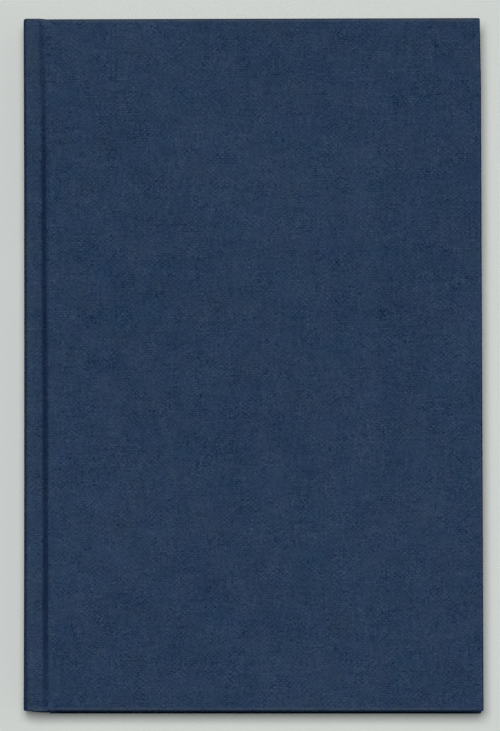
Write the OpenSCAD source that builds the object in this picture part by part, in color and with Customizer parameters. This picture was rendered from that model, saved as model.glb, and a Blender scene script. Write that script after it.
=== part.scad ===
// A closed hardback book with a square spine, covered in plain cloth.
// It lies on its back cover: the spine is at -X, the head at +Y, the front cover on top.
// All sizes are in millimetres, and the origin is the middle of the underside.

/* [Book] */
// Height of the covers, head to tail
book_h = 222.4; // [120:0.2:320]
// Width of the closed book, spine to fore edge
book_w = 147; // [80:0.5:240]
// Thickness of the closed book
book_t = 30; // [16:0.5:60]

/* [Boards] */
// Thickness of the cover boards
board_t = 2.5; // [2:0.1:4]
// Thickness of the stiff board in the spine
spine_board_t = 2; // [1:0.1:2.6]
// Rounding of the covers' outer corners, seen from above
corner_r = 1; // [0.8:0.1:3]
// Rounding of the covers' outer edges
edge_r = 0.6; // [0.4:0.1:0.8]
// Rounding along the two long edges of the spine
spine_r = 0.9; // [0.7:0.1:1.4]

/* [Cloth] */
// Thickness of the glued cloth
cloth_t = 0.4; // [0.3:0.05:0.5]
// Width of the cloth turned in over the board edges
turn_in = 16; // [10:0.5:25]

/* [Joints] */
// From the outer face of the spine to the near wall of the groove
groove_x = 5.55; // [4.8:0.05:9]
// From the near wall of the groove to the covered edge of the board
groove_w = 2.15; // [1.6:0.05:8]
// Depth of the groove below the cover
groove_depth = 1.8; // [1.4:0.1:2.2]
// Rounding of the ridge beside the groove
ridge_r = 0.7; // [0.6:0.05:1]
// Rounding at the foot of the groove
foot_r = 0.3; // [0.2:0.05:0.4]
// Gap left at the board edge, so that the cover can turn
joint_gap = 0.3; // [0.2:0.05:0.5]

/* [Pages] */
// Overhang of the covers past the pages at head and tail
square_h = 3.2; // [1:0.1:8]
// Overhang of the covers past the pages at the fore edge
square_w = 4; // [1:0.1:10]
// Gap between a closed cover and the leaf under it
lid_gap = 0.2; // [0.1:0.05:0.5]

/* [Papers and linings] */
// Thickness of the endpapers
paper_t = 0.2; // [0.1:0.05:0.3]
// Thickness of the paper lining glued down the back of the pages
lining_t = 0.2; // [0.1:0.05:0.4]
// How far the lining stops short of the pages at head and tail
lining_short = 1; // [0.5:0.1:10]
// Thickness of the open-weave mull that holds the pages to the boards
mull_t = 0.2; // [0.1:0.05:0.3]
// Width of the mull glued to each board
mull_w = 26; // [10:1:40]
// How far the mull stops short of the turned-in cloth
mull_short = 1.2; // [0.5:0.1:10]
// Air gap behind the spine board, inside its turned-in cloth
hollow_gap = 0.2; // [0.1:0.05:1]
// Gap between the turned-in cloth of the joint and the folded endpaper
fold_gap = 0.1; // [0.05:0.05:0.3]

/* [Bands] */
// Radius of the bead of the head and tail bands
bead_r = 0.9; // [0.6:0.1:1.4]
// How far the middle of the bead stands above the pages
bead_up = 0.6; // [0.3:0.1:0.8]
// Length of the tab that is glued to the back of the pages
tab_h = 9; // [4:0.5:12]

/* [Hidden] */
$fn = 48;

// Depths below the outer face of a cover, going in
inner_face = cloth_t + board_t;
turn_face = inner_face + cloth_t;
paste_face = turn_face + paper_t;
leaf_face = paste_face + lid_gap;
block_face = leaf_face + paper_t;

// Distances from the outer face of the spine, going in
spine_in = cloth_t + spine_board_t;
lining_x = spine_in + cloth_t + hollow_gap;
mull_x = lining_x + lining_t;
block_x = mull_x + mull_t;
ridge_x = groove_x - ridge_r;
board_x = groove_x + groove_w;
strip_end = board_x - joint_gap;
block_end = book_w - square_w;

// Depths in the joint, and heights from the middle of the book to the head
floor_face = groove_depth + cloth_t;
fold_face = floor_face + cloth_t + fold_gap;
cover_half = book_h / 2;
block_half = cover_half - square_h;
turn_half = cover_half - turn_in;
mull_half = turn_half - mull_short;

// Cuts run this far past the face that they open
past = 1;

cloth_blue = [41 / 255, 58 / 255, 84 / 255];
band_blue = [92 / 255, 112 / 255, 150 / 255];
leaf_cream = [236 / 255, 229 / 255, 211 / 255];
end_white = [240 / 255, 236 / 255, 226 / 255];

// Puts the spine side at -X, with the middle of the book at the origin
module from_spine() {
    translate([-book_w / 2, 0, 0]) children();
}

// Turns a back cover piece into its twin on the front cover
module on_front() {
    translate([0, 0, book_t]) mirror([0, 0, 1]) children();
}

// Turns a piece at the head into its twin at the tail
module at_tail() {
    mirror([0, 1, 0]) children();
}

// A plain sheet or board from x0 to x1, as tall as twice its half height
module slab(x0, x1, half, z0, z1) {
    translate([x0, -half, z0]) cube([x1 - x0, 2 * half, z1 - z0]);
}

// Runs a flat outline along the book's height, about its middle
module along_height(h) {
    rotate([90, 0, 0]) linear_extrude(height = h, center = true) children();
}

// A rectangle with all four corners rounded
module round_plate(x0, x1, y0, y1, r) {
    for (x = [x0 + r, x1 - r], y = [y0 + r, y1 - r]) translate([x, y]) circle(r);
    translate([x0 + r, y0]) square([x1 - x0 - 2 * r, y1 - y0]);
    translate([x0, y0 + r]) square([x1 - x0, y1 - y0 - 2 * r]);
}

// A plate with its lower corners rounded and its upper corners left square
module round_foot(x0, x1, t, r) {
    for (x = [x0 + r, x1 - r]) translate([x, r]) circle(r);
    translate([x0 + r, 0]) square([x1 - x0 - 2 * r, t]);
    translate([x0, r]) square([x1 - x0, t - r]);
}

// The covered board's outer shape, with its outer edges and corners rounded
module cover_shape() {
    intersection() {
        along_height(book_h) round_foot(board_x, book_w, turn_face, edge_r);
        translate([board_x, 0, 0]) rotate([90, 0, 90])
            linear_extrude(height = book_w - board_x)
                round_foot(-cover_half, cover_half, turn_face, edge_r);
        translate([0, 0, -past]) linear_extrude(height = turn_face + 2 * past)
            round_plate(board_x - corner_r, book_w, -cover_half, cover_half, corner_r);
    }
}

module cover_board() {
    intersection() {
        slab(board_x + cloth_t, book_w - cloth_t, cover_half - cloth_t, cloth_t, inner_face);
        linear_extrude(height = inner_face)
            round_plate(board_x - corner_r, book_w - cloth_t, cloth_t - cover_half,
                cover_half - cloth_t, corner_r - cloth_t);
    }
}

// Cloth over the outside of a board, turned in at head, tail and fore edge
module cover_cloth() {
    difference() {
        cover_shape();
        cover_board();
        slab(board_x - past, book_w - turn_in, turn_half, inner_face, turn_face + past);
    }
}

// The flange of the mull, glued to the board under the pastedown
module cover_mull() {
    slab(board_x + cloth_t, board_x + mull_w, mull_half, inner_face, inner_face + mull_t);
}

// The pasted half of the endpaper. It steps up over the turned-in cloth and the mull
module cover_pastedown() {
    bump = board_x + mull_w + paper_t;
    difference() {
        union() {
            slab(board_x, block_end, block_half, turn_face, paste_face);
            slab(board_x, book_w - turn_in, turn_half, inner_face, paste_face);
        }
        difference() {
            slab(board_x - past, book_w - turn_in - paper_t, turn_half - paper_t,
                inner_face + paper_t, paste_face + past);
            slab(board_x - 2 * past, bump, mull_half + paper_t, inner_face,
                inner_face + mull_t + paper_t);
        }
        cover_mull();
    }
}

// The free half of the endpaper, with the strip that folds up into the joint
module endpaper() {
    slab(block_x, block_end, block_half, leaf_face, block_face);
    slab(block_x, block_x + paper_t, block_half, fold_face, block_face);
    slab(block_x, strip_end - paper_t, block_half, fold_face, fold_face + paper_t);
}

// Spine side of the case: a rounded plate cut off square where the joints begin
module spine_outline(inset) {
    intersection() {
        round_plate(inset, 2 * groove_x, inset, book_t - inset, spine_r - inset);
        square([ridge_x, book_t]);
    }
}

// One joint seen from the tail: over the ridge, down the wall and along the floor
module joint_outline() {
    translate([ridge_x, ridge_r]) intersection() {
        difference() {
            circle(ridge_r);
            circle(ridge_r - cloth_t);
        }
        translate([0, -ridge_r]) square(ridge_r);
    }
    translate([groove_x - cloth_t, ridge_r]) square([cloth_t, groove_depth - foot_r - ridge_r]);
    translate([groove_x + foot_r, groove_depth - foot_r]) intersection() {
        difference() {
            circle(foot_r + cloth_t);
            circle(foot_r);
        }
        translate([-foot_r - cloth_t, 0]) square(foot_r + cloth_t);
    }
    translate([groove_x + foot_r, groove_depth])
        square([strip_end - groove_x - foot_r, cloth_t]);
}

// The second layer of cloth, turned in under one joint at the head
module joint_turn_in() {
    wall_x = groove_x - cloth_t;
    translate([0, cover_half - turn_in, 0]) {
        translate([spine_in, 0, cloth_t]) cube([wall_x - spine_in, turn_in, cloth_t]);
        translate([wall_x - cloth_t, 0, cloth_t]) cube([cloth_t, turn_in, floor_face]);
        translate([wall_x - cloth_t, 0, floor_face])
            cube([strip_end - wall_x + cloth_t, turn_in, cloth_t]);
    }
}

// Cloth folded over the head of the spine board and down behind it
module spine_turn_in() {
    translate([0, cover_half - cloth_t / 2, 0]) along_height(cloth_t) intersection() {
        spine_outline(0);
        square([spine_in + cloth_t, book_t]);
    }
    translate([spine_in, cover_half - turn_in, cloth_t])
        cube([cloth_t, turn_in, book_t - 2 * cloth_t]);
}

// All the cloth that is turned in at the head, between the two boards
module spine_head() {
    spine_turn_in();
    joint_turn_in();
    on_front() joint_turn_in();
}

// The bead and tab of the band at the head
module band() {
    translate([0, 0, block_face]) linear_extrude(height = book_t - 2 * block_face) {
        intersection() {
            translate([mull_x + bead_r, block_half + bead_up]) circle(bead_r);
            translate([mull_x, block_half]) square(2 * bead_r);
        }
        translate([mull_x, block_half - tab_h]) square([mull_t, tab_h + bead_up]);
    }
}

module page_block() {
    color(leaf_cream) from_spine()
        slab(block_x, block_end, block_half, block_face, book_t - block_face);
}

module front_endpaper() {
    color(end_white) from_spine() on_front() endpaper();
}

module back_endpaper() {
    color(end_white) from_spine() endpaper();
}

module spine_mull() {
    color("wheat") from_spine()
        slab(mull_x, block_x, mull_half, block_face, book_t - block_face);
}

module spine_lining() {
    color("tan") from_spine()
        slab(lining_x, mull_x, block_half - lining_short, block_face, book_t - block_face);
}

module head_band() {
    color(band_blue) from_spine() band();
}

module tail_band() {
    color(band_blue) from_spine() at_tail() band();
}

module spine_board() {
    color("peru") from_spine() along_height(book_h - 2 * cloth_t) intersection() {
        spine_outline(cloth_t);
        square([spine_in, book_t]);
    }
}

module spine_cloth() {
    color(cloth_blue) from_spine() {
        along_height(book_h) difference() {
            spine_outline(0);
            spine_outline(cloth_t);
        }
        along_height(book_h) joint_outline();
        on_front() along_height(book_h) joint_outline();
        spine_head();
        at_tail() spine_head();
    }
}

module front_board() {
    color("peru") from_spine() on_front() cover_board();
}

module front_cloth() {
    color(cloth_blue) from_spine() on_front() cover_cloth();
}

module front_mull() {
    color("wheat") from_spine() on_front() cover_mull();
}

module front_pastedown() {
    color(end_white) from_spine() on_front() cover_pastedown();
}

module back_board() {
    color("peru") from_spine() cover_board();
}

module back_cloth() {
    color(cloth_blue) from_spine() cover_cloth();
}

module back_mull() {
    color("wheat") from_spine() cover_mull();
}

module back_pastedown() {
    color(end_white) from_spine() cover_pastedown();
}

page_block();
front_endpaper();
back_endpaper();
spine_mull();
spine_lining();
head_band();
tail_band();
spine_board();
spine_cloth();
front_board();
front_cloth();
front_mull();
front_pastedown();
back_board();
back_cloth();
back_mull();
back_pastedown();
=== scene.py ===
"""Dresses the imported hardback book: woven cloth, folded edges, leaves and bands, around the CAD frame."""
import math
import random

import bpy
from mathutils import Matrix, Vector


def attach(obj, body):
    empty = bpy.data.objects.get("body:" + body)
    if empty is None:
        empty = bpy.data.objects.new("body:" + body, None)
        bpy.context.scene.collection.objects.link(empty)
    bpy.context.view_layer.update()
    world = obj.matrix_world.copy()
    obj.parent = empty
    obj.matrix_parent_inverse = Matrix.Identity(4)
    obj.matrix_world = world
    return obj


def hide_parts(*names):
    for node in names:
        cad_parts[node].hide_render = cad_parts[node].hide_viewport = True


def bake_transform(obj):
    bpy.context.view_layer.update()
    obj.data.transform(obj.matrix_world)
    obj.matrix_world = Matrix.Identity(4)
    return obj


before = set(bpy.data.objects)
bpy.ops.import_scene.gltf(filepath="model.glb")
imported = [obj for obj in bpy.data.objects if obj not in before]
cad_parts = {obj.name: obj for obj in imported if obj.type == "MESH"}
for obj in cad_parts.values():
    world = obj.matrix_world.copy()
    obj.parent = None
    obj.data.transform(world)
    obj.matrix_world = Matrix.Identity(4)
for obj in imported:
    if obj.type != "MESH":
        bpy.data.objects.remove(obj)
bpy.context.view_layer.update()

MM = 0.001

# The book's own measures are in millimetres. X runs from the spine (0 here) to the fore edge, Y from
# tail to head, and depth from a cover's outer face inwards.

# The closed book
BOOK_W = 147.0
BOOK_T = 30.0
HALF_H = 111.2

# The covers: the cloth's thickness, where the board starts, the rounding of the outer edges, of the
# edge beside the groove and of the corners, how far the cloth is turned in, and how deep the board's
# inner face and the turned-in cloth's face lie
CLOTH = 0.4
BOARD_X = 7.7
EDGE_R = 0.6
GROOVE_EDGE_R = 0.30
CORNER_R = 0.5
TURN_IN = 16.0
INNER_FACE = 2.9
TURN_FACE = 3.3

# The spine: how far its rounded edges reach across and down, how far its face bulges, how deep its
# cloth is folded in at head and tail, the seam where the joints' cloth takes over, and how deep that
# is folded in
SPINE_EDGE_X = 1.25
SPINE_EDGE_Z = 3.0
SPINE_BULGE = 0.35
SPINE_FOLD = 2.8
SEAM_X = 3.4
JOINT_FOLD = 0.8

# The pages: how deep the free leaf and the block lie, and where the block starts and ends
LEAF_FACE = 3.7
BLOCK_FACE = 3.9
BLOCK_X = 3.4
BLOCK_END = 143.0
BLOCK_HALF = 108.0

# Where a cover's hinge line lies
PIVOT_X = 3.3
PIVOT_DEPTH = 1.75

# The covers aren't quite square: head and tail lie this much further out at the fore edge, and this
# much further in at the spine
SKEW_HEAD = 0.064
SKEW_TAIL = 0.174
# The front cover is also this much taller than in the CAD, at the head and at the tail
OVER_HEAD = 0.10
OVER_TAIL = 0.24
# Its corner at the head of the fore edge is knocked in by this much, which starts at this x and y and
# grows over this width and height
CORNER_IN = 0.30
KNOCK_X = 125.0
KNOCK_Y = 88.0
KNOCK_WIDE = 20.0
KNOCK_TALL = 24.0
# The spine's cloth stands a little past the boards at the head and at the tail, falls short of them at
# the outer corner of the tail, and slants in there towards the back cover
SPINE_HEAD = 0.22
SPINE_TAIL = 0.22
SPINE_TAIL_CORNER = -0.20
SPINE_TAIL_SLANT = 0.75


def smooth(t):
    t = min(1.0, max(0.0, t))
    return t * t * (3 - 2 * t)


def rise(value, start, length):
    """From 0 at the start to 1 a length further on."""
    return smooth((value - start) / length)


def lerp(a, b, t):
    return a + (b - a) * t


def steps(a, b, n):
    return [lerp(a, b, k / n) for k in range(n + 1)]


def directions(degrees):
    """(cosine, sine) of each of the angles."""
    return [(math.cos(math.radians(a)), math.sin(math.radians(a))) for a in degrees]


def front_z(depth):
    return BOOK_T - depth


def back_z(depth):
    return depth


def scene_place(x, z):
    """A place halfway up the book, in metres."""
    return ((x - BOOK_W / 2) * MM, 0, z * MM)


class Shell:
    """Vertices, and faces whose corners each carry a place on the flat sheet, in millimetres."""

    def __init__(self):
        self.points, self.faces, self.sharp = [], [], set()

    def add(self, x, y, z):
        self.points.append((x, y, z))
        return len(self.points) - 1

    def face(self, corners):
        """A face from (vertex, (u, v)) corners, with repeated vertices dropped."""
        kept = []
        for c in corners:
            if not kept or kept[-1][0] != c[0]:
                kept.append(c)
        if len(kept) > 1 and kept[0][0] == kept[-1][0]:
            kept.pop()
        if len(kept) > 2 and len({c[0] for c in kept}) == len(kept):
            self.faces.append(kept)

    def bridge(self, a, b):
        """Faces between two rows of corners."""
        for k in range(len(a) - 1):
            self.face([a[k], a[k + 1], b[k + 1], b[k]])

    def sharpen(self, loop):
        """Shades the edges along the corners as a crease."""
        self.sharp.update((a[0], b[0]) for a, b in zip(loop, loop[1:]))

    def build(self, name, material, wear_and_painted_light=None, flip=False):
        """The finished object. Wear and painted light are by vertex, and flip turns the faces over."""
        mesh = bpy.data.meshes.new(name)
        faces = [[c[0] for c in f] for f in self.faces]
        uvs = [[c[1] for c in f] for f in self.faces]
        if flip:
            faces = [f[::-1] for f in faces]
            uvs = [f[::-1] for f in uvs]
        points = [((x - BOOK_W / 2) * MM, y * MM, z * MM) for x, y, z in self.points]
        mesh.from_pydata(points, [], faces)
        layer = mesh.uv_layers.new(name="sheet")
        flat = [value for f in uvs for uv in f for value in uv]
        layer.data.foreach_set("uv", flat)
        if wear_and_painted_light:
            attribute = mesh.attributes.new("wear_and_painted_light", "FLOAT", "POINT")
            attribute.data.foreach_set("value", [wear_and_painted_light.get(k, 0.0) for k in range(len(points))])
        mesh.polygons.foreach_set("use_smooth", [True] * len(faces))
        mesh.update()
        if self.sharp:
            wanted = {tuple(sorted(e)) for e in self.sharp}
            sharp = mesh.attributes.new("sharp_edge", "BOOLEAN", "EDGE")
            keys = [tuple(sorted(e.vertices)) in wanted for e in mesh.edges]
            sharp.data.foreach_set("value", keys)
        mesh.materials.append(material)
        obj = bpy.data.objects.new(name, mesh)
        bpy.context.scene.collection.objects.link(obj)
        return obj


# Materials


class Nodes:
    """Short calls for a material's node tree. Inputs are numbers, colours or sockets."""

    def __init__(self, name):
        self.material = bpy.data.materials.new(name)
        self.material.use_nodes = True
        self.tree = self.material.node_tree
        self.tree.nodes.clear()

    def put(self, kind, inputs=(), **settings):
        node = self.tree.nodes.new("ShaderNode" + kind)
        for key, value in settings.items():
            setattr(node, key, value)
        for key, value in dict(inputs).items():
            if isinstance(value, bpy.types.NodeSocket):
                self.tree.links.new(value, node.inputs[key])
            elif value is not None:
                node.inputs[key].default_value = value
        return node

    def math(self, operation, a, b=None, c=None):
        return self.put("Math", {0: a, 1: b, 2: c}, operation=operation).outputs[0]

    def add(self, a, b):
        return self.math("ADD", a, b)

    def sub(self, a, b):
        return self.math("SUBTRACT", a, b)

    def mul(self, a, b):
        return self.math("MULTIPLY", a, b)

    def swing(self, value, amount, middle=0.5):
        """How far a value lies from its middle, times an amount."""
        return self.mul(self.sub(value, middle), amount)

    def wave(self, operation, half_turns):
        """The sine or cosine of so many half turns."""
        return self.math(operation, self.mul(half_turns, math.pi))

    def vector(self, x, y, z=0.0):
        return self.put("CombineXYZ", {0: x, 1: y, 2: z}).outputs[0]

    def plus(self, a, b):
        """The sum of two vectors or colours."""
        return self.put("VectorMath", {0: a, 1: b}, operation="ADD").outputs[0]

    def times(self, colour, factor):
        """A vector or colour made larger or smaller. A colour loses its alpha."""
        start = colour if isinstance(colour, bpy.types.NodeSocket) else colour[:3]
        return self.put("VectorMath", {0: start, "Scale": factor}, operation="SCALE").outputs[0]

    def noise(self, vector, scale, detail, rough=0.5):
        inputs = {"Vector": vector, "Scale": scale, "Detail": detail, "Roughness": rough}
        return self.put("TexNoise", inputs).outputs[0]

    def range(self, value, a, b, c=0.0, d=1.0):
        """c up to a, d from b on, and smooth between them."""
        inputs = {"Value": value, "From Min": a, "From Max": b, "To Min": c, "To Max": d}
        return self.put("MapRange", inputs, interpolation_type="SMOOTHSTEP").outputs[0]

    def mix(self, factor, a, b):
        return self.put("Mix", {0: factor, 6: a, 7: b}, data_type="RGBA").outputs[2]

    def bump(self, height, distance, strength):
        inputs = {"Height": height, "Distance": distance, "Strength": strength}
        return self.put("Bump", inputs).outputs[0]

    def surface(self, colour, roughness, normal, specular, sheen=0.0):
        shader = self.put("BsdfPrincipled", {
            "Base Color": colour, "Roughness": roughness, "Normal": normal,
            "Specular IOR Level": specular, "Sheen Weight": sheen, "Sheen Roughness": 0.6})
        out = self.put("OutputMaterial")
        self.tree.links.new(shader.outputs[0], out.inputs[0])
        return self.material


def object_mm(n):
    """Object coordinates in millimetres, whole and split."""
    place = n.put("TexCoord").outputs["Object"]
    mm = n.times(place, 1000.0)
    parts = n.put("SeparateXYZ", {0: mm}).outputs
    return mm, parts[0], parts[1], parts[2]


# The weave: the threads' spacing, how many threads far they wander, and the mean of a thread's section
WARP_PITCH = 0.846
WEFT_PITCH = 0.708
THREAD_WANDER = 3.2
SECTION_MEAN = 0.64
# The cloth's colour runs from a dark thread by this step to a light one
CLOTH_DARK = (0.0105, 0.0270, 0.0650)
CLOTH_STEP = (0.0205, 0.0285, 0.0400)
# What makes it lighter or darker: which thread lies on top, the lines of the threads, each thread's own
# tone, fibres, grain, and clouds of two sizes
CROSSING = 0.255
WEFT_LINE = 0.46
WARP_LINE = 0.07
WARP_TONE = 0.65
WEFT_TONE = 0.6
FIBRE = 1.8
GRAIN = 0.75
CLOUD = 0.57
BROAD = 0.38
# Slight shifts of hue in red and blue, and where in the noise each is taken
RED_SHIFT = 0.0105
BLUE_SHIFT = 0.0260
RED_PLACE = (31.0, 7.0, 5.0)
BLUE_PLACE = (3.0, 57.0, 9.0)
# Where the wear attribute is above 0 the cloth is rubbed pale, partly real wear and partly a painted
# highlight. Below 0 it is painted shade: first the shade of the grooves and of edges that turn away from the
# lamp, and below a second threshold also the darker painted shadow under the tail edge.
RUBBED_AND_HIGHLIGHT = (0.082, 0.099, 0.104, 1.0)
PAINTED_SHADE = (0.0002, 0.0070, 0.0460, 1.0)
PAINTED_TAIL_SHADOW = (0.0000, 0.0070, 0.0100, 1.0)
RUBBED_AND_HIGHLIGHT_AMOUNT = 0.34
PAINTED_SHADE_AMOUNT = -0.55
PAINTED_TAIL_SHADOW_AMOUNT = -1.28
PAINTED_TAIL_SHADOW_FROM = -1.1
# Small pale specks
SPECK = (0.30, 0.33, 0.36, 1.0)
SPECK_AMOUNT = 0.3


def weave(n, mm):
    """A plain weave on the flat sheet, each thread a little different: how high and how light it is."""
    sheet = n.put("UVMap", uv_map="sheet").outputs[0]
    parts = n.put("SeparateXYZ", {0: sheet}).outputs
    u, v = parts[0], parts[1]
    # Places are counted in threads, and the threads wander
    wander_u = n.noise(n.vector(u, n.mul(v, 0.5)), 0.22, 3.0)
    wander_v = n.noise(n.vector(n.mul(u, 0.5), v, 9.0), 0.22, 3.0)
    x = n.add(n.math("DIVIDE", u, WARP_PITCH), n.mul(wander_u, THREAD_WANDER))
    y = n.add(n.math("DIVIDE", v, WEFT_PITCH), n.mul(wander_v, THREAD_WANDER))
    warp_number, weft_number = n.math("FLOOR", x), n.math("FLOOR", y)
    # Each thread has a round section, and rises and falls as it goes over and under the others
    across_x = n.wave("COSINE", n.sub(n.sub(x, warp_number), 0.5))
    across_y = n.wave("COSINE", n.sub(n.sub(y, weft_number), 0.5))
    over_y = n.wave("COSINE", n.add(n.sub(y, 0.5), warp_number))
    over_x = n.wave("COSINE", n.add(n.sub(x, 0.5), weft_number))
    warp = n.add(n.mul(across_x, 0.6), n.mul(over_y, 0.5))
    weft = n.sub(n.mul(across_y, 0.6), n.mul(over_x, 0.5))
    height = n.math("SMOOTH_MAX", warp, weft, 0.3)
    warp_on_top = n.range(n.sub(warp, weft), -0.7, 0.7)
    # The crossings and the lines show more in some places than in others
    patchy = n.range(n.noise(mm, 0.14, 2.0), 0.3, 0.7, 0.35, 1.5)
    ribbed = n.range(n.noise(mm, 0.16, 2.0), 0.42, 0.66, 0.1, 1.4)
    light = n.swing(warp_on_top, n.mul(patchy, CROSSING))
    light = n.add(light, n.swing(across_y, n.mul(ribbed, WEFT_LINE), SECTION_MEAN))
    light = n.add(light, n.swing(across_x, WARP_LINE, SECTION_MEAN))
    # A thread keeps its tone along its length, so the noise is stretched along it
    warp_tone = n.noise(n.vector(n.mul(warp_number, 3.71), n.mul(y, 0.13), 4.0), 1.0, 2.0)
    weft_tone = n.noise(n.vector(n.mul(x, 0.11), n.mul(weft_number, 3.71), 8.0), 1.0, 2.0)
    fibre = n.noise(mm, 1.4, 1.0, 0.6)
    grain = n.noise(mm, 0.72, 1.0, 0.5)
    for part, amount in ((warp_tone, WARP_TONE), (weft_tone, WEFT_TONE), (fibre, FIBRE), (grain, GRAIN)):
        light = n.add(light, n.swing(part, amount))
    # All of it stands out more in some places than in others
    crisp = n.range(n.noise(n.vector(u, v, 17.0), 0.17, 2.0), 0.33, 0.67, 0.72, 1.32)
    return n.add(height, n.mul(fibre, 0.6)), n.mul(light, crisp)


def cloth_material():
    """Woven cloth with clouds, rubbed folds with a painted highlight, painted shade in the grooves and on
    edges, a painted shadow under the tail edge, and a few specks.
    """
    n = Nodes("book_cloth")
    mm = object_mm(n)[0]
    height, light = weave(n, mm)
    light = n.add(0.5, light)
    light = n.add(light, n.swing(n.noise(mm, 0.10, 3.0, 0.6), CLOUD))
    light = n.add(light, n.swing(n.noise(mm, 0.025, 2.0), BROAD))
    light = n.math("MAXIMUM", light, -0.5)
    colour = n.plus(CLOTH_DARK, n.times(CLOTH_STEP, light))
    red = n.swing(n.noise(n.plus(mm, RED_PLACE), 0.10, 3.0, 0.6), RED_SHIFT)
    blue = n.swing(n.noise(n.plus(mm, BLUE_PLACE), 0.10, 3.0, 0.6), BLUE_SHIFT)
    colour = n.plus(colour, n.vector(red, 0.0, blue))
    wear_and_painted_light = n.put("Attribute", attribute_name="wear_and_painted_light").outputs["Fac"]
    # Above 0 the cloth is rubbed pale: partly real wear, partly a painted highlight
    uneven = n.range(n.noise(mm, 0.45, 3.0), 0.3, 0.7, 0.4, 1.0)
    rubbed_and_highlight = n.mul(n.math("MAXIMUM", wear_and_painted_light, 0.0), uneven)
    colour = n.mix(n.mul(rubbed_and_highlight, RUBBED_AND_HIGHLIGHT_AMOUNT), colour, RUBBED_AND_HIGHLIGHT)
    # Below 0, painted shade in the grooves and on edges that turn away from the lamp
    colour = n.mix(n.math("MAXIMUM", n.mul(wear_and_painted_light, PAINTED_SHADE_AMOUNT), 0.0), colour, PAINTED_SHADE)
    # Further below 0, the darker painted shadow under the tail edge
    tail_shadow_share = n.mul(n.sub(wear_and_painted_light, PAINTED_TAIL_SHADOW_FROM), PAINTED_TAIL_SHADOW_AMOUNT)
    colour = n.mix(n.math("MAXIMUM", tail_shadow_share, 0.0), colour, PAINTED_TAIL_SHADOW)
    spots = n.put("TexVoronoi", {"Vector": mm, "Scale": 0.11}, feature="F1").outputs["Distance"]
    few = n.range(n.noise(mm, 0.06, 0.0), 0.6, 0.66)
    speck = n.mul(n.range(spots, 0.02, 0.035, 1.0, 0.0), few)
    colour = n.mix(n.mul(speck, SPECK_AMOUNT), colour, SPECK)
    return n.surface(colour, 0.9, n.bump(height, 0.00006, 0.7), specular=0.05)


def paper_material(name, colour, edges=False):
    """Uncoated paper. With edges, the sides of the block show the edges of its leaves."""
    n = Nodes(name)
    mm, x, y, z = object_mm(n)
    pulp = n.noise(mm, 1.6, 4.0, 0.6)
    cloud = n.noise(mm, 0.12, 3.0)
    factor = n.add(1.0, n.add(n.swing(pulp, 0.06), n.swing(cloud, 0.05)))
    height = pulp
    if edges:
        wander = n.noise(n.vector(n.mul(x, 0.02), n.mul(y, 0.02)), 1.0, 2.0)
        leaf = n.add(n.mul(z, 9.0), n.mul(wander, 3.0))
        fine = n.noise(n.vector(n.mul(x, 0.03), n.mul(y, 0.03), leaf), 1.0, 2.0, 0.8)
        quire = n.noise(n.vector(n.mul(x, 0.004), n.mul(y, 0.004), n.mul(z, 0.9)), 1.0, 2.0)
        factor = n.add(factor, n.swing(fine, 0.42))
        factor = n.add(factor, n.swing(quire, 0.16))
        height = fine
    return n.surface(n.times(colour, factor), 0.78, n.bump(height, 0.00003, 0.6), specular=0.25)


# The bands' stripes and threads, along the book's thickness
BAND_STRIPE = 1.5
BAND_THREAD = 0.375
BAND_NAVY = (0.090, 0.150, 0.290, 1.0)
BAND_CREAM = (0.640, 0.600, 0.500, 1.0)


def band_material():
    """Navy and cream thread, wound round the band's cord."""
    n = Nodes("band_threads")
    mm, _, _, z = object_mm(n)
    stripe = n.range(n.wave("SINE", n.mul(z, 2 / BAND_STRIPE)), -0.25, 0.25)
    thread = n.wave("SINE", n.mul(z, 2 / BAND_THREAD))
    fibre = n.noise(mm, 5.0, 3.0, 0.7)
    colour = n.mix(stripe, BAND_NAVY, BAND_CREAM)
    factor = n.add(n.mul(thread, 0.14), n.add(0.72, n.mul(fibre, 0.5)))
    normal = n.bump(n.add(thread, fibre), 0.00004, 0.7)
    return n.surface(n.times(colour, factor), 0.55, normal, specular=0.4, sheen=0.1)


MULL_PITCH = 1.1
MULL_COLOUR = (0.70, 0.63, 0.48, 1.0)


def mull_material():
    """Open gauze with glue in it."""
    n = Nodes("mull_gauze")
    mm, x, y, z = object_mm(n)
    weft = n.math("ABSOLUTE", n.wave("SINE", n.mul(y, 1 / MULL_PITCH)))
    warp = n.math("ABSOLUTE", n.wave("SINE", n.mul(n.add(x, z), 1 / MULL_PITCH)))
    threads = n.math("MAXIMUM", weft, warp)
    glue = n.noise(mm, 0.4, 3.0)
    factor = n.add(n.mul(threads, 0.45), n.add(0.42, n.mul(glue, 0.3)))
    return n.surface(n.times(MULL_COLOUR, factor), 0.8, n.bump(threads, 0.0001, 0.8), specular=0.25)


def fibre_board_material(name, colour, scale, amount):
    """Pressed fibres: grey board, or brown lining paper."""
    n = Nodes(name)
    mm, x, y, z = object_mm(n)
    fleck = n.noise(mm, scale, 5.0, 0.75)
    cloud = n.noise(mm, 0.15, 2.0)
    layer = n.noise(n.vector(n.mul(x, 0.05), n.mul(y, 0.05), n.mul(z, 3.0)), 1.0, 2.0)
    factor = n.add(1.0, n.swing(fleck, amount))
    factor = n.add(factor, n.swing(cloud, 0.12))
    factor = n.add(factor, n.swing(layer, 0.15))
    return n.surface(n.times(colour, factor), 0.85, n.bump(fleck, 0.00005, 0.7), specular=0.2)


cloth = cloth_material()
endpaper = paper_material("endpaper", (0.80, 0.775, 0.705, 1.0))
leaves = paper_material("page_edges", (0.80, 0.75, 0.63, 1.0), edges=True)
band_threads = band_material()
mull = mull_material()
grey_board = fibre_board_material("grey_board", (0.235, 0.205, 0.165, 1.0), 2.2, 0.45)
kraft = fibre_board_material("kraft_lining", (0.36, 0.225, 0.115, 1.0), 3.0, 0.30)

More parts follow.
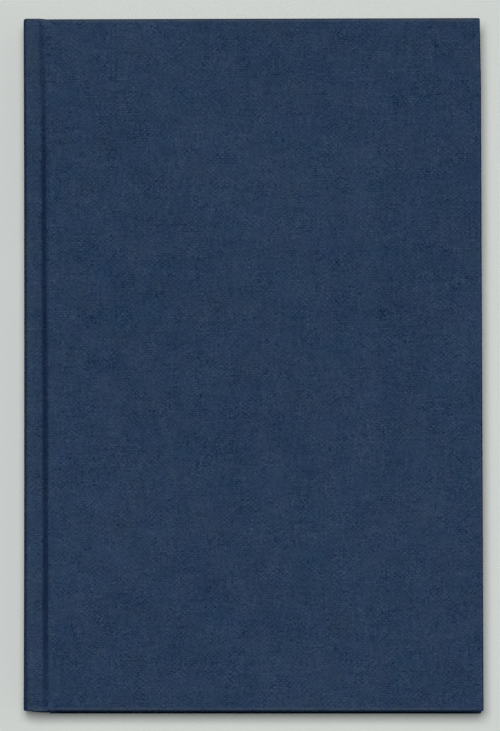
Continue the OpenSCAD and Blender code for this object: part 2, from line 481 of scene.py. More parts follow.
for node, material in {
    "front_board": grey_board, "back_board": grey_board,
    "spine_mull": mull, "front_mull": mull, "back_mull": mull, "spine_lining": kraft,
}.items():
    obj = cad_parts[node]
    obj.data.materials.clear()
    obj.data.materials.append(material)


# Cover cloth: a shallow tray of cloth folded round the board, mitred at the two outer corners

# The steps along the sides, round a corner and over an edge
TOP_X = 46
TOP_Y = 72
CORNER_STEPS = 5
EDGE_STEPS = 7
# How far in from the edges the flat top's grid ends
SUPPORT = 1.3
# How much of a loop's rubbing and painted highlight each side has
SIDE_RUB_AND_HIGHLIGHT = {"head": 1.25, "fore": 0.25, "tail": 0.95}
# The painted shadow of the front cover on the back cover's tail edge, as a wear value, and how far in from
# that edge it reaches
TAIL_SHADOW = -1.7
TAIL_SHADOW_REACH = 2.0
# The rounding of the fold at the inner face, and the bevel of the turned-in cloth's cut edge
FOOT_R = 0.5
CUT = 0.1
# Wear and painted light of the loops from the flat top over the edge: rubbing with a painted highlight above
# 0, painted shade below 0. The last one holds for the rest.
COVER_WEAR_AND_PAINTED_LIGHT = [0.0, 0.7, 1.25, 1.0, -0.2, -0.8, -1.0, -1.0, -1.0, -1.0, -1.0, -0.8, -0.5]
# The share of a loop's painted shade that the edge beside the groove has
GROOVE_EDGE_SHADE = 0.15


class Tray:
    """Loops round a cover, each with its own inset and depth on the three outer sides and at the hinge."""

    def __init__(self, to_z, over_head=0.0, over_tail=0.0, corner_in=0.0, tail_shadow=0.0):
        self.shell, self.wear_and_painted_light = Shell(), {}
        self.to_z, self.over_head, self.over_tail = to_z, over_head, over_tail
        self.corner_in, self.tail_shadow = corner_in, tail_shadow

    def vertex(self, x, y, depth, wear_and_painted_light):
        x -= self.corner_in * rise(y, KNOCK_Y, KNOCK_TALL) * rise(x, KNOCK_X, KNOCK_WIDE)
        skew, over = (SKEW_HEAD, self.over_head) if y > 0 else (SKEW_TAIL, self.over_tail)
        y += (skew * (x / BOOK_W * 2 - 1) + over) * y / HALF_H
        k = self.shell.add(x, y, self.to_z(depth))
        if wear_and_painted_light:
            self.wear_and_painted_light[k] = wear_and_painted_light
        return k

    def loop(self, outer, hinge, run, hinge_run, wear_and_painted_light, hinge_shade):
        """A loop's head, fore edge, tail and hinge side, each with the corner after it.

        outer and hinge are (inset, depth), and run is how far along the cloth the flat top is.
        """
        (inset, depth), (h_inset, h_depth) = outer, hinge
        x0, x1, y1 = BOARD_X + h_inset, BOOK_W - inset, HALF_H - inset
        top_y = HALF_H - SUPPORT
        left, right = BOARD_X + SUPPORT, BOOK_W - SUPPORT

        def side_wear_and_light(name):
            if wear_and_painted_light > 0:
                return wear_and_painted_light * SIDE_RUB_AND_HIGHLIGHT[name]
            # Near the tail edge the back cover takes the front cover's painted shadow
            if wear_and_painted_light < 0 and name == "tail" and inset < TAIL_SHADOW_REACH:
                return min(wear_and_painted_light, self.tail_shadow)
            return wear_and_painted_light

        def corner(cx, cy, sx, sy, r, from_end, depths, runs):
            """A corner from one side's end to the next, as a fan where the loop is rounded.

            (cx, cy) is the fan's centre, (sx, sy) the way out, and from_end says that it starts at the
            head or the tail.
            """
            row, shared = [], None
            for k, (c, s) in enumerate(directions(steps(0.0, 90.0, CORNER_STEPS))):
                t = k / CORNER_STEPS
                nx, ny = (s, c) if from_end else (c, s)
                if r > 1e-6 or shared is None or depths[0] != depths[1]:
                    shared = self.vertex(cx + sx * nx * r, cy + sy * ny * r,
                                         lerp(depths[0], depths[1], t), (wear_and_painted_light + hinge_shade) / 2)
                along = lerp(runs[0], runs[1], t)
                base = (right if sx > 0 else left, top_y * sy)
                row.append((shared, (base[0] + sx * nx * along, base[1] + sy * ny * along)))
            return row

        r = max(0.0, CORNER_R - inset)
        rh = max(0.0, CORNER_R - max(inset, h_inset))
        fore_head = corner(x1 - r, y1 - r, 1, 1, r, True, (depth, depth), (run, run))
        fore_tail = corner(x1 - r, r - y1, 1, -1, r, False, (depth, depth), (run, run))
        tail_hinge = corner(x0 + rh, rh - y1, -1, -1, rh, True, (depth, h_depth), (run, hinge_run))
        hinge_head = corner(x0 + rh, y1 - rh, -1, 1, rh, False, (h_depth, depth), (hinge_run, run))

        def side(a, b, count, wear_and_light_along, depth_here, flat, start, end):
            """A side between two corners. flat(x, y) is the place on the flat sheet."""
            row = [(start, flat(*a))]
            for k in range(1, count):
                t = k / count
                x, y = lerp(a[0], b[0], t), lerp(a[1], b[1], t)
                row.append((self.vertex(x, y, depth_here, wear_and_light_along), flat(x, y)))
            row.append((end, flat(*b)))
            return row

        head = side((x0 + rh, y1), (x1 - r, y1), TOP_X, side_wear_and_light("head"), depth,
                    lambda x, y: (x, top_y + run), hinge_head[-1][0], fore_head[0][0])
        fore = side((x1, y1 - r), (x1, r - y1), TOP_Y, side_wear_and_light("fore"), depth,
                    lambda x, y: (right + run, y), fore_head[-1][0], fore_tail[0][0])
        tail = side((x1 - r, -y1), (x0 + rh, -y1), TOP_X, side_wear_and_light("tail"), depth,
                    lambda x, y: (x, -top_y - run), fore_tail[-1][0], tail_hinge[0][0])
        spine = side((x0, rh - y1), (x0, y1 - rh), TOP_Y, hinge_shade, h_depth,
                     lambda x, y: (left - hinge_run, y), tail_hinge[-1][0], hinge_head[0][0])
        return [head, fore_head, fore, fore_tail, tail, tail_hinge, spine, hinge_head]

    def bridge(self, a, b):
        for p, q in zip(a, b):
            self.shell.bridge(p, q)

    def fill(self, loop, down=False):
        """Closes a loop that has single-vertex corners with a grid."""
        head, fore, tail, spine = loop[0], loop[2], loop[4], loop[6]
        columns, rows = len(head), len(fore)
        grid = [[None] * rows for _ in range(columns)]
        for c in range(columns):
            grid[c][0] = head[c]
            grid[c][rows - 1] = tail[columns - 1 - c]
        for r in range(1, rows - 1):
            grid[columns - 1][r] = fore[r]
            grid[0][r] = spine[rows - 1 - r]
        for c in range(1, columns - 1):
            for r in range(1, rows - 1):
                x, _, z = self.shell.points[tail[columns - 1 - c][0]]
                y = self.shell.points[fore[r][0]][1]
                grid[c][r] = (self.shell.add(x, y, z), (x, y))
        for c in range(columns - 1):
            for r in range(rows - 1):
                quad = [grid[c][r], grid[c][r + 1], grid[c + 1][r + 1], grid[c + 1][r]]
                self.shell.face(quad[::-1] if down else quad)


def edge_profile(radius):
    """(inset, depth) from the rim of the flat top, over a rounded edge and halfway down."""
    arc = [(radius - radius * s, radius - radius * c) for c, s in directions(steps(0.0, 90.0, EDGE_STEPS))]
    return [(SUPPORT, 0.0), (0.85, 0.0)] + arc + [(0.0, 1.6)]


def outer_profile():
    """(inset, depth) over an outer edge, round the fold, in to the cut edge and back inside the cloth."""
    foot = [(FOOT_R * (1 - c), TURN_FACE - FOOT_R + FOOT_R * s) for c, s in directions((0, 22, 45, 68, 90))]
    turned = [(1.2, TURN_FACE), (TURN_IN - CUT, TURN_FACE), (TURN_IN, TURN_FACE - CUT)]
    inside = [(TURN_IN, INNER_FACE + 0.02), (CLOTH, INNER_FACE), (CLOTH, CLOTH)]
    return edge_profile(EDGE_R) + foot + turned + inside


def groove_profile():
    """The same beside the groove, where the cloth ends at the board's inner face and isn't turned in."""
    end = [(0.0, 2.3), (0.02, 2.5), (0.06, 2.65), (0.12, 2.76), (0.2, 2.84), (0.25, 2.87), (0.28, 2.88)]
    inside = [(0.31, 2.89), (0.35, INNER_FACE), (CLOTH, INNER_FACE - 0.02), (CLOTH, CLOTH)]
    return edge_profile(GROOVE_EDGE_R) + end + inside


def cover_cloth(name, body, node, tray, flip):
    """The cloth round a board. Its inside is closed too, and the board hides it."""
    outer, hinge = outer_profile(), groove_profile()
    loops, run, hinge_run = [], 0.0, 0.0
    for k, (o, h) in enumerate(zip(outer, hinge)):
        if k:
            run += math.dist(o, outer[k - 1])
            hinge_run += math.dist(h, hinge[k - 1])
        worn_and_painted_light = COVER_WEAR_AND_PAINTED_LIGHT[min(k, len(COVER_WEAR_AND_PAINTED_LIGHT) - 1)]
        loops.append(tray.loop(o, h, run, hinge_run, worn_and_painted_light, min(0.0, worn_and_painted_light * GROOVE_EDGE_SHADE)))
    tray.fill(loops[0])
    for a, b in zip(loops, loops[1:]):
        tray.bridge(a, b)
    tray.fill(loops[-1], down=True)
    obj = tray.shell.build(name, cloth, tray.wear_and_painted_light, flip)
    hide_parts(node)
    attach(obj, body)


cover_cloth("front_cover_cloth", "front_cover", "front_cloth",
            Tray(front_z, OVER_HEAD, OVER_TAIL, CORNER_IN), True)
cover_cloth("back_cover_cloth", "back_cover", "back_cloth",
            Tray(back_z, tail_shadow=TAIL_SHADOW), False)


# Spine and joint cloth: one section of cloth swept along the height and folded in at head and tail

# The joint's outer face as (distance from the spine, depth): flat, over the ridge, into the groove and
# up to the board's edge
JOINT_LINE = [(3.4, 0.0), (3.9, 0.0), (4.5, 0.0), (5.05, 0.0), (5.35, 0.05), (5.6, 0.23), (5.85, 0.57),
              (6.1, 0.96), (6.3, 1.21), (6.5, 1.30), (6.75, 1.12), (7.0, 0.82), (7.25, 0.55), (7.5, 0.36),
              (7.7, 0.24), (7.88, 0.19)]
# The share of the groove's depth that is left at the very head and tail, and how far from there it is
# whole again
HEAD_GROOVE = 0.10
TAIL_GROOVE = 0.45
HEAD_FADE = 50.0
TAIL_FADE = 30.0
# Where the painted shade in the groove is darkest, how far it spreads, and how dark it is, as a wear value
GROOVE_SHADE_X = 6.5
GROOVE_SHADE_SPREAD = 0.42
GROOVE_SHADE = 1.1
# Where the pressed groove fades at the head, a soft hollow stays: its middle, half width, depth and painted
# shade
HOLLOW_X = 6.05
HOLLOW_HALF = 1.5
HOLLOW_DEPTH = 0.25
HOLLOW_SHADE = 0.45
# Painted light on the shaded slope of the board's edge beside the groove, and a painted highlight on the
# strip between the groove and the spine's edge
PAINTED_EDGE_LIGHT_X = 7.45
PAINTED_EDGE_LIGHT = 0.3
STRIP_HIGHLIGHT = 0.34
# How dark the painted shade makes the spine's sides below its rounded edges, as a wear value
SPINE_SHADE = 0.75
# How much the spine bows in from its ends to halfway up, how far out the ends lie, the rounding of its
# edges at the tail as a share of that halfway up, and how much smaller that share is at the head
BOW_IN = 0.19
BOW_OUT = 0.06
TAIL_ROUNDER = 1.4
HEAD_TIGHTER = 0.28
# The rounding of the folds at head and tail, how far up the plain rows go on the outer and the inner
# face, and how many steps each has
FOLD_R = 0.25
OUTER_REACH = 107.8
INNER_REACH = 94.0
OUTER_STEPS = 94
INNER_STEPS = 12


def groove_depth(y):
    """The share of the groove's full depth, which is less near the head and the tail."""
    head = smooth((HALF_H - y) / HEAD_FADE)
    tail = smooth((HALF_H + y) / TAIL_FADE)
    return lerp(HEAD_GROOVE, 1.0, head) * lerp(TAIL_GROOVE, 1.0, tail)


def groove_shift(x, y):
    """The joint wanders: it lies nearer the spine towards the head, and nearer the board below."""
    shift = 0.42 - 0.45 * rise(y, -60.0, 140.0) - 0.64 * rise(y, 76.0, 36.0)
    # The flat strip and the board's edge stay in place
    return shift * rise(x, 4.4, 1.0) * smooth((7.9 - x) / 0.9)


def with_normals(line, cap):
    """Turns (x, level) points into marks of (x, level, normal x, normal level, most depth).

    The normal points inwards, and cap(x) is how deep the cloth may be folded in.
    """
    marks = []
    for k, (x, level) in enumerate(line):
        p, q = line[max(0, k - 1)], line[min(len(line) - 1, k + 1)]
        dx, dl = q[0] - p[0], q[1] - p[1]
        size = math.hypot(dx, dl)
        marks.append((x, level, -dl / size, dx / size, cap(x)))
    return marks


def curve_through(points, per):
    """A smooth line through points, with so many steps between each two."""
    out = []
    for k in range(len(points) - 1):
        p = [points[max(0, min(len(points) - 1, k + o))] for o in (-1, 0, 1, 2)]
        for s in range(per):
            t = s / per
            place = []
            for a, b, c, d in zip(*p):
                square = 2 * a - 5 * b + 4 * c - d
                cube = 3 * b - a - 3 * c + d
                place.append(0.5 * (2 * b + (c - a) * t + square * t * t + cube * t ** 3))
            out.append(tuple(place))
    return out + [points[-1]]


def joint_section():
    """Marks of (x, depth, normal, most depth) along the joint. Its flat part is folded straight down."""
    line = JOINT_LINE[:3] + curve_through(JOINT_LINE[2:], 3)[1:]
    marks = with_normals(line, lambda x: 0.5 if 4.8 < x < 6.0 else JOINT_FOLD)
    return [(x, d, 0.0, 1.0, cap) if x < 4.6 else (x, d, nx, nd, cap) for x, d, nx, nd, cap in marks]


def spine_section():
    """Marks of (x, z, normal, most depth) from the front seam round the bulging spine to the back seam."""
    line = [(x, BOOK_T) for x in (SEAM_X, 2.9, 2.4, 1.9, 1.4)]
    for c, s in directions(steps(0.0, 90.0, 10)):
        line.append((SPINE_EDGE_X * (1 - s), BOOK_T - SPINE_EDGE_Z * (1 - c)))
    edge = line[:-1]
    half = BOOK_T / 2 - SPINE_EDGE_Z
    for t in steps(-1.0, 1.0, 16)[1:-1]:
        line.append((-SPINE_BULGE * (1 - t * t), BOOK_T / 2 - t * half))
    line += [(x, BOOK_T - z) for x, z in edge][::-1]
    marks = with_normals(line, lambda x: SPINE_FOLD if x < 1.3 else JOINT_FOLD)
    # The flat parts fold straight in
    return [(x, z, 0.0, math.copysign(1.0, nz), cap) if x > 1.3 else (x, z, nx, nz, cap)
            for x, z, nx, nz, cap in marks]


def head_reach(x):
    """How far past the boards the cloth goes at the head, by distance from the spine."""
    return SPINE_HEAD * (1 - rise(x, 6.2, 1.3))


def tail_reach(x, z):
    """The same at the tail, where it also slants back towards the back cover."""
    reach = lerp(SPINE_TAIL_CORNER, SPINE_TAIL, smooth(x / 5.0)) - SPINE_TAIL_SLANT * (1 - z / BOOK_T)
    return reach * (1 - rise(x, 6.9, 0.9))


def hollow_share(x):
    """From 0 to 1, the shape of the soft hollow across the joint."""
    return max(0.0, math.cos(min(1.0, abs(x - HOLLOW_X) / HOLLOW_HALF) * math.pi / 2)) ** 2


def spine_shift(x, y):
    """Where a point of the spine's section lies at this height."""
    bow = BOW_IN * (1 - (y / HALF_H) ** 2) - BOW_OUT
    round_edge = lerp(TAIL_ROUNDER, 1.0, rise(y, -108.0, 45.0)) - HEAD_TIGHTER * rise(y, 60.0, 40.0)
    if 0 < x <= SPINE_EDGE_X:
        x *= round_edge
    elif SPINE_EDGE_X < x < 1.5:
        x = max(x, SPINE_EDGE_X * round_edge + 0.05)
    return x + bow * (1 - smooth(x / 2.8))


def strip_highlight(x):
    """A painted highlight on the flat strip between the spine's edge and the groove, most along the edge."""
    return STRIP_HIGHLIGHT * (1 - rise(x, 1.2, 4.4))


def wear_and_painted_light_here(x, depth, worn_and_painted_light, spine, deepen, hollow):
    """The wear and painted light at a point, from the fold's own: painted highlights add to it, and painted
    shade takes off.
    """
    if spine and depth > 0.02:
        # Painted shade down the spine's sides below the rounded edge, and the strip's painted highlight at
        # the edge itself
        shade = SPINE_SHADE * (1 - math.exp(-depth / 0.3)) * (1 - rise(depth, 2.5, 4.0))
        return strip_highlight(x) * math.exp(-depth / 0.15) - shade
    # A painted highlight along the strip beside the spine's edge
    worn_and_painted_light += strip_highlight(x) * (1 - min(1.0, abs(worn_and_painted_light)))
    if not spine:
        # Painted light on the shaded slope of the board's edge, and painted shade in the groove and the soft
        # hollow
        worn_and_painted_light += PAINTED_EDGE_LIGHT * math.exp(-((x - PAINTED_EDGE_LIGHT_X) / 0.3) ** 2) * deepen
        shade_in_groove = GROOVE_SHADE * math.exp(-((x - GROOVE_SHADE_X) / GROOVE_SHADE_SPREAD) ** 2)
        worn_and_painted_light -= shade_in_groove * deepen + HOLLOW_SHADE * hollow_share(x) * hollow
    return worn_and_painted_light


def end_fold(deep):
    """(how deep, up from the end, wear and painted light) from the outer face over the rounded end to the
    inner face, with a painted highlight on the rounded end and painted shade past it.
    """
    fold = [(0.0, -1.9, 0.0), (0.0, -1.3, 0.35), (0.0, -0.8, 0.8), (0.0, -0.45, 1.0)]
    for (c, s), worn_and_painted_light in zip(directions((22, 45, 67, 90)), (1.0, 0.4, -0.4, -0.9)):
        fold.append((FOLD_R - FOLD_R * c, FOLD_R * s - FOLD_R, worn_and_painted_light))
    for c, s in directions((90, 67, 45, 22, 0)):
        fold.append((deep - FOLD_R + FOLD_R * c, FOLD_R * s - FOLD_R, -0.9))
    return fold + [(deep, -TURN_IN, -0.9), (CLOTH, -TURN_IN - 0.2, -0.9)]


def swept_cloth(marks, to_z, spine, u0):
    """Cloth with the marks as its section, swept along the height, with both ends folded in.

    u0 is where the first mark lies on the flat sheet. A joint's marks give depth, which to_z turns into
    z, and the spine's give z.
    """
    shell, wear_and_painted_light = Shell(), {}
    fold = end_fold(SPINE_FOLD if spine else JOINT_FOLD)
    # Rows round the sheet are (how deep, level or None, up from the end, end, wear and painted light)
    rounds = [(0.0, t * OUTER_REACH, 0.0, None, 0.0) for t in steps(-1.0, 1.0, OUTER_STEPS)]
    rounds += [(deep, None, up, "head", worn_and_painted_light) for deep, up, worn_and_painted_light in fold]
    rounds += [(CLOTH, t * INNER_REACH, 0.0, None, 0.0) for t in steps(1.0, -1.0, INNER_STEPS)[1:-1]]
    rounds += [(deep, None, up, "tail", worn_and_painted_light) for deep, up, worn_and_painted_light in fold[::-1]]
    arc = [u0]
    for a, b in zip(marks, marks[1:]):
        arc.append(arc[-1] + math.dist(a[:2], b[:2]))
    rows, along, last = [], 0.0, None
    for deep, plain, up, end, worn_and_painted_light in rounds:
        row, levels = [], []
        for x, d, nx, nd, cap in marks:
            level = plain
            if end == "head":
                level = HALF_H + head_reach(x) + up
            elif end == "tail":
                level = -HALF_H - tail_reach(x, d if spine else to_z(d)) - up
            if spine:
                deepen, hollow = 1.0, 0.0
                px, pd = spine_shift(x, level), d
            else:
                deepen = groove_depth(level)
                hollow = (1 - deepen) if level > 0 else 0.0
                px = x + groove_shift(x, level)
                pd = d * deepen + HOLLOW_DEPTH * hollow_share(px) * hollow
            within = min(deep, cap, JOINT_FOLD)
            px += nx * within
            pd += nd * within
            if spine and deep > JOINT_FOLD:
                px = max(px, deep)
            z = pd if spine else to_z(pd)
            k = shell.add(px, level, z)
            row.append(k)
            levels.append(level)
            wear_and_painted_light[k] = wear_and_painted_light_here(x, min(z, BOOK_T - z), worn_and_painted_light, spine, deepen, hollow)
        along = levels[0] if last is None else along + math.dist((levels[0], deep), last)
        last = (levels[0], deep)
        rows.append([(k, (u, along)) for k, u in zip(row, arc)])
    for a, b in zip(rows, rows[1:] + rows[:1]):
        shell.bridge(a, b)
    for column in (0, -1):
        rim = [row[column] for row in rows]
        shell.face(rim if column else rim[::-1])
        shell.sharpen(rim + rim[:1])
    return shell, wear_and_painted_light


def spine_wrap():
    """The spine's cloth. It starts at the front seam, so its places on the sheet run down from there."""
    shell, wear_and_painted_light = swept_cloth(spine_section(), None, True, 0.0)
    shell.faces = [[(k, (SEAM_X - u, v)) for k, (u, v) in f] for f in shell.faces]
    wrap = shell.build("spine_cloth_wrap", cloth, wear_and_painted_light)
    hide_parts("spine_cloth")
    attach(wrap, "text_block")


def spine_core():
    """The stiff board inside the spine's cloth, with the same rounded edges and sloping tail."""
    shell, rows, inset, edge = Shell(), [], CLOTH + 0.02, 2.4
    marks = [m for m in spine_section() if m[0] <= edge]
    for t in steps(0.0, 1.0, 24):
        row = []
        for k, (x, z, nx, nz, _) in enumerate(marks):
            y = lerp(inset - HALF_H - tail_reach(x, z), HALF_H - inset, t)
            row.append((shell.add(min(edge, spine_shift(x, y) + nx * inset), y, z + nz * inset), (k, y)))
        rows.append(row)
    for a, b in zip(rows, rows[1:]):
        shell.bridge(a + a[:1], b + b[:1])
        shell.sharp.update(((a[0][0], b[0][0]), (a[-1][0], b[-1][0])))
    shell.face(rows[0][::-1])
    shell.face(rows[-1])
    shell.sharpen(rows[0] + rows[0][:1])
    shell.sharpen(rows[-1] + rows[-1][:1])
    core = shell.build("spine_board_core", grey_board)
    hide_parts("spine_board")
    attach(core, "text_block")


# How far past the hinge line a joint's cloth would start and stop bending with its cover. Only their places
# are worked out here, and nothing bends.
BEND_START = 1.1
BEND_END = 4.6


def joint_cloth(side, to_z, flip):
    shell, wear_and_painted_light = swept_cloth(joint_section(), to_z, False, SEAM_X)
    joint = shell.build(side + "_joint_cloth", cloth, wear_and_painted_light, flip)
    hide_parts("spine_cloth")
    scene_place(PIVOT_X + BEND_START, to_z(0.0))
    scene_place(PIVOT_X + BEND_END, to_z(0.0))
    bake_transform(joint)


spine_wrap()
spine_core()
joint_cloth("front", front_z, False)
joint_cloth("back", back_z, True)


# Paper: the pasted halves, the free leaves and the strips that fold into the joints

# How far the pastedown steps up over the turned-in cloth, and over the mull, whose tab ends here
OVER_CLOTH = 0.4
OVER_MULL = 0.2
MULL_X = 33.3
MULL_Y = 93.8
# Where its step over the turned-in cloth starts
TURNED_X = 130.5
TURNED_Y = 94.7
# How far it stands off the board, its thickness, and the spacing of its coarse steps
PASTE_UP = 0.2
PASTED = 0.18
COARSE = 4.0


def plate(name, xs, ys, face, under, material, flip):
    """A closed sheet whose upper face is face(x, y) and whose lower face is under(x, y)."""
    shell = Shell()
    upper = [[(shell.add(x, y, face(x, y)), (x, y)) for y in ys] for x in xs]
    lower = [[(shell.add(x, y, under(x, y)), (x, y)) for y in ys] for x in xs]
    for a, b in zip(upper, upper[1:]):
        shell.bridge(b, a)
    for a, b in zip(lower, lower[1:]):
        shell.bridge(a, b)
    rims = []
    for grid in (upper, lower):
        rim = [c[0] for c in grid] + grid[-1][1:] + [c[-1] for c in grid[-2::-1]] + grid[0][-2:0:-1]
        rims.append(rim + rim[:1])
    shell.bridge(rims[0], rims[1])
    shell.sharpen(rims[0])
    shell.sharpen(rims[1])
    return shell.build(name, material, flip=flip)


def pasted_depth(x, y):
    """Depth of the pastedown's face: it steps up softly over the turned-in cloth and over the mull."""
    from_edge = min(BOOK_W - x, HALF_H - abs(y))
    over_cloth = OVER_CLOTH * smooth((TURN_IN + 0.5 - from_edge) / 1.1)
    over_mull = OVER_MULL * smooth((MULL_X + 0.6 - x) / 1.2) * smooth((MULL_Y + 0.6 - abs(y)) / 1.2)
    return INNER_FACE + PASTE_UP + max(over_cloth, over_mull)


def spaced(a, b, marks, coarse, fine=0.3, near=1.6):
    """Steps from a to b, fine within near of each mark."""
    out, at = [a], a
    while at < b - 1e-6:
        close = any(abs(at + fine / 2 - m) < near for m in marks)
        at = min(b, at + (fine if close else coarse))
        out.append(at)
    if len(out) > 2 and out[-1] - out[-2] < 0.05:
        out.pop(-2)
    return out


def ripple(x, y):
    """A faint cockle in the free leaf."""
    a = math.sin(x * 0.061 + 0.7) * math.sin(y * 0.043 + 1.9)
    b = math.sin(x * 0.023 - y * 0.031 + 0.4)
    return 0.035 * (a + b) * rise(x, BLOCK_X, 20.0)


def pasted_leaf(side, to_z, flip):
    xs = spaced(BOARD_X, BLOCK_END, [MULL_X, TURNED_X], COARSE)
    ys = spaced(-BLOCK_HALF, BLOCK_HALF, [-TURNED_Y, TURNED_Y, -MULL_Y, MULL_Y], COARSE)
    pasted = plate(side + "_pasted_leaf", xs, ys,
                   lambda x, y: to_z(pasted_depth(x, y)),
                   lambda x, y: to_z(pasted_depth(x, y) - PASTED), endpaper, flip)
    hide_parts(side + "_pastedown")
    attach(pasted, side + "_cover")


def free_leaf(side, to_z, flip):
    """The free half of the endpaper, a hair inside the block's outline."""
    xs = [7.2] + steps(8.0, BLOCK_END - 0.1, 44)
    ys = steps(-BLOCK_HALF + 0.05, BLOCK_HALF - 0.05, 64)
    free = plate(side + "_free_leaf", xs, ys,
                 lambda x, y: to_z(BLOCK_FACE - 0.005),
                 lambda x, y: to_z(LEAF_FACE + 0.04 - ripple(x, y)), endpaper, flip)
    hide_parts(side + "_endpaper")
    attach(free, "text_block")


for side, to_z, flip in (("front", front_z, True), ("back", back_z, False)):
    pasted_leaf(side, to_z, flip)
    free_leaf(side, to_z, flip)

# Where the paper strip runs when the cover lies open, from the free leaf to the pasted half, as
# (x, up) from the hinge line
OPEN_PATH = [(4.15, -1.86), (3.75, -1.72), (3.3, -1.2), (2.95, -0.5), (2.65, 0.3), (2.3, 1.3), (1.75, 2.3),
             (0.9, 3.05), (-0.2, 3.4), (-1.4, 3.33), (-2.5, 2.85), (-3.3, 2.2), (-3.95, 1.65), (-4.6, 1.3)]
HALF_PAPER = 0.08
# The levels, up from the hinge line, between which the strip bends, and how far past it they are measured
FOLD_LOW = -1.90
FOLD_HIGH = -1.22
FOLD_X = 4.0
FULL_TURN = math.radians(179.5)


def closed_place(x, up):
    """Where a point of the open strip lies with the book closed, by undoing the blend's turn."""
    radius, opened = math.hypot(x, up), math.atan2(up, x)
    low, high = math.radians(-75.0), math.radians(-2.0)
    for _ in range(60):
        at = (low + high) / 2
        share = rise(radius * math.sin(at), FOLD_LOW, FOLD_HIGH - FOLD_LOW)
        if at + share * FULL_TURN < opened:
            low = at
        else:
            high = at
    return radius * math.cos(at), radius * math.sin(at)


def hinge_paper(side, to_z, flip):
    """The strip of endpaper that crosses the joint, as thin as paper when the cover lies open."""
    shell, skins, line = Shell(), [], curve_through(OPEN_PATH, 4)
    ys = steps(-BLOCK_HALF + 0.1, BLOCK_HALF - 0.1, 30)
    for offset in (HALF_PAPER, -HALF_PAPER):
        rows = []
        for k, (x, up) in enumerate(line):
            a, b = line[max(0, k - 1)], line[min(len(line) - 1, k + 1)]
            tx, tu = b[0] - a[0], b[1] - a[1]
            size = math.hypot(tx, tu)
            cx, cu = closed_place(x + tu / size * offset, up - tx / size * offset)
            z = to_z(PIVOT_DEPTH - cu)
            rows.append([(shell.add(PIVOT_X + cx, y, z), (k * 0.2, y)) for y in ys])
        skins.append(rows)
    top, low = skins
    for a, b in zip(top, top[1:]):
        shell.bridge(b, a)
    for a, b in zip(low, low[1:]):
        shell.bridge(a, b)
    shell.bridge(top[0], low[0])
    shell.bridge(low[-1], top[-1])
    shell.bridge([r[0] for r in low], [r[0] for r in top])
    shell.bridge([r[-1] for r in top], [r[-1] for r in low])
    strip = shell.build(side + "_hinge_paper", endpaper, flip=flip)
    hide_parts(side + "_endpaper")
    scene_place(PIVOT_X + FOLD_X, to_z(PIVOT_DEPTH - FOLD_LOW))
    scene_place(PIVOT_X + FOLD_X, to_z(PIVOT_DEPTH - FOLD_HIGH))
    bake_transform(strip)


hinge_paper("front", front_z, True)
hinge_paper("back", back_z, False)


# The page block: a stack of leaves whose edges don't quite line up

# How many layers it has, how many make a quire, how far in they lie, and every other quire besides
LAYERS = 148
QUIRE = 8
LEAF_IN = 0.07
QUIRE_IN = 0.018
# How far a layer's edges wander from the last one's, how much of that carries on, and each one's own part
WANDER = 0.028
CARRIED = 0.82
UNEVEN = 0.03


def page_stack():
    """Drift and inset hold the fore edge, the tail and the head, in that order."""
    shell, rings, rng = Shell(), [], random.Random(21)
    z0, z1 = back_z(BLOCK_FACE), front_z(BLOCK_FACE)
    drift = [0.0, 0.0, 0.0]
    for k in range(LAYERS):
        low, high = lerp(z0, z1, k / LAYERS), lerp(z0, z1, (k + 1) / LAYERS)
        quire = QUIRE_IN if (k // QUIRE) % 2 else 0.0
        drift = [CARRIED * d + rng.uniform(-WANDER, WANDER) for d in drift]
        inset = [max(0.0, LEAF_IN + d + quire + rng.uniform(-UNEVEN, UNEVEN)) for d in drift]
        inset = [0.0 if k in (0, LAYERS - 1) else i for i in inset]
        x0, x1 = BLOCK_X, BLOCK_END - inset[0]
        y0, y1 = -BLOCK_HALF + inset[1], BLOCK_HALF - inset[2]
        for z in (low, high):
            rings.append([(shell.add(x, y, z), (x, y)) for x, y in ((x0, y0), (x1, y0), (x1, y1), (x0, y1))])
    shell.face(rings[0][::-1])
    for a, b in zip(rings, rings[1:]):
        shell.bridge(a + a[:1], b + b[:1])
    shell.face(rings[-1])
    pages = shell.build("page_leaves", leaves)
    pages.data.polygons.foreach_set("use_smooth", [False] * len(pages.data.polygons))
    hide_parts("page_block")
    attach(pages, "text_block")


page_stack()


# Head and tail bands: a cord sewn over with thread

# Where the cord's middle lies, its radius, and how far the threads stand out
BAND_X = 4.15
BAND_Y = 108.62
BAND_R = 0.70
BAND_SWELL = 0.12
# The steps along the cord and round it
BAND_STEPS = 360
BAND_SIDES = 14
# The tab that is glued down the back of the leaves
TAB_X = (3.22, 3.38)
TAB_Y = (99.0, 108.9)


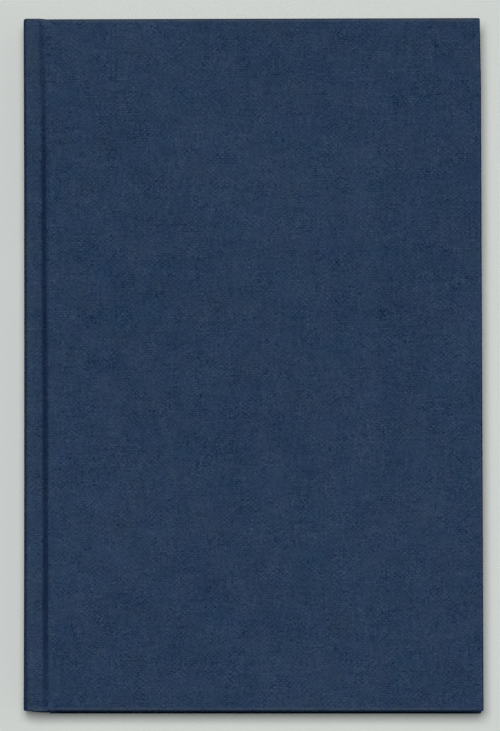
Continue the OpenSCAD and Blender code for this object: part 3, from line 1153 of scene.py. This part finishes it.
def band(name, node, end):
    """A band at the head (end 1) or the tail (end -1)."""
    shell, rows = Shell(), []
    z0, z1 = back_z(BLOCK_FACE) + 0.1, front_z(BLOCK_FACE) - 0.1
    for k in range(BAND_STEPS + 1):
        z = lerp(z0, z1, k / BAND_STEPS)
        wrap = abs(math.sin(math.pi * z / BAND_THREAD))
        close = min(1.0, (min(z - z0, z1 - z) + 0.05) / 0.35)
        radius = (BAND_R + BAND_SWELL * math.sqrt(wrap)) * math.sqrt(close)
        row = []
        for a in range(BAND_SIDES):
            t = 2 * math.pi * a / BAND_SIDES
            x, y = BAND_X + radius * math.cos(t), end * (BAND_Y + radius * math.sin(t))
            row.append((shell.add(x, y, z), (a, z)))
        rows.append(row)
    for a, b in zip(rows, rows[1:]):
        shell.bridge(a + a[:1], b + b[:1])
    shell.face(rows[0][::-1])
    shell.face(rows[-1])
    (x0, x1), (y0, y1) = TAB_X, TAB_Y
    corners = [(x0, y0), (x1, y0), (x1, y1), (x0, y1)]
    low = [(shell.add(x, end * y, z0), (x, y)) for x, y in corners]
    high = [(shell.add(x, end * y, z1), (x, y)) for x, y in corners]
    shell.bridge(low + low[:1], high + high[:1])
    shell.face(low[::-1])
    shell.face(high)
    shell.sharpen(low + low[:1])
    shell.sharpen(high + high[:1])
    for a, b in zip(low, high):
        shell.sharpen([a, b])
    obj = shell.build(name, band_threads, flip=end < 0)
    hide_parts(node)
    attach(obj, "text_block")


band("head_band_threads", "head_band", 1)
band("tail_band_threads", "tail_band", -1)


# Floor, light and camera, in metres, degrees and watts, with the lens in millimetres

FLOOR_REACH = 3.0
FLOOR_Z = -0.00005
FLOOR_COLOUR = (0.62, 0.65, 0.63, 1.0)
WORLD_LIGHT = 0.22
LAMP_SIDE = 0.5
LAMP_POWER = 70.0
LAMP_PLACE = (-0.06, 0.02, 3.0)
CAMERA_TARGET = (-0.000969, -0.000662, 0.030)
CAMERA_AWAY = 2.8
CAMERA_TILT = 4.4
CAMERA_ROLL = -0.118
LENS = 429.95


def floor():
    n = Nodes("plain_floor")
    mm = object_mm(n)[0]
    paper = n.noise(mm, 0.02, 3.0)
    colour = n.times(FLOOR_COLOUR, n.add(0.985, n.mul(paper, 0.03)))
    material = n.surface(colour, 0.9, n.bump(paper, 0.0001, 0.1), specular=0.1)
    corners = [(x * FLOOR_REACH, y * FLOOR_REACH, FLOOR_Z) for x, y in ((-1, -1), (1, -1), (1, 1), (-1, 1))]
    mesh = bpy.data.meshes.new("floor")
    mesh.from_pydata(corners, [], [(0, 1, 2, 3)])
    mesh.materials.append(material)
    obj = bpy.data.objects.new("floor", mesh)
    bpy.context.scene.collection.objects.link(obj)


def light():
    """Even light all round, and a soft lamp almost straight above."""
    world = bpy.data.worlds.new("studio")
    world.use_nodes = True
    background = world.node_tree.nodes["Background"]
    background.inputs["Color"].default_value = (1.0, 1.0, 1.0, 1.0)
    background.inputs["Strength"].default_value = WORLD_LIGHT
    bpy.context.scene.world = world
    lamp = bpy.data.lights.new("overhead", "AREA")
    lamp.shape = "RECTANGLE"
    lamp.size = LAMP_SIDE
    lamp.size_y = LAMP_SIDE
    lamp.energy = LAMP_POWER
    obj = bpy.data.objects.new("overhead", lamp)
    obj.location = LAMP_PLACE
    obj.rotation_euler = (-obj.location).to_track_quat("-Z", "Y").to_euler()
    bpy.context.scene.collection.objects.link(obj)


def camera():
    """Looks down at the closed book from a little towards its tail, as in the photograph."""
    tilt, roll = math.radians(CAMERA_TILT), math.radians(CAMERA_ROLL)
    back = Vector((0.0, -math.sin(tilt), math.cos(tilt)))
    up = Vector((0.0, math.cos(tilt), math.sin(tilt)))
    right = Vector((1.0, 0.0, 0.0))
    level = math.cos(roll) * right + math.sin(roll) * up
    above = math.cos(roll) * up - math.sin(roll) * right
    data = bpy.data.cameras.new("camera")
    data.sensor_width = 36.0
    data.lens = LENS
    data.clip_start = 0.1
    data.clip_end = 20.0
    obj = bpy.data.objects.new("camera", data)
    place = Matrix((level, above, back)).transposed().to_4x4()
    place.translation = Vector(CAMERA_TARGET) + CAMERA_AWAY * back
    obj.matrix_world = place
    bpy.context.scene.collection.objects.link(obj)
    bpy.context.scene.camera = obj


floor()
light()
camera()
bpy.context.scene.view_settings.view_transform = "Standard"
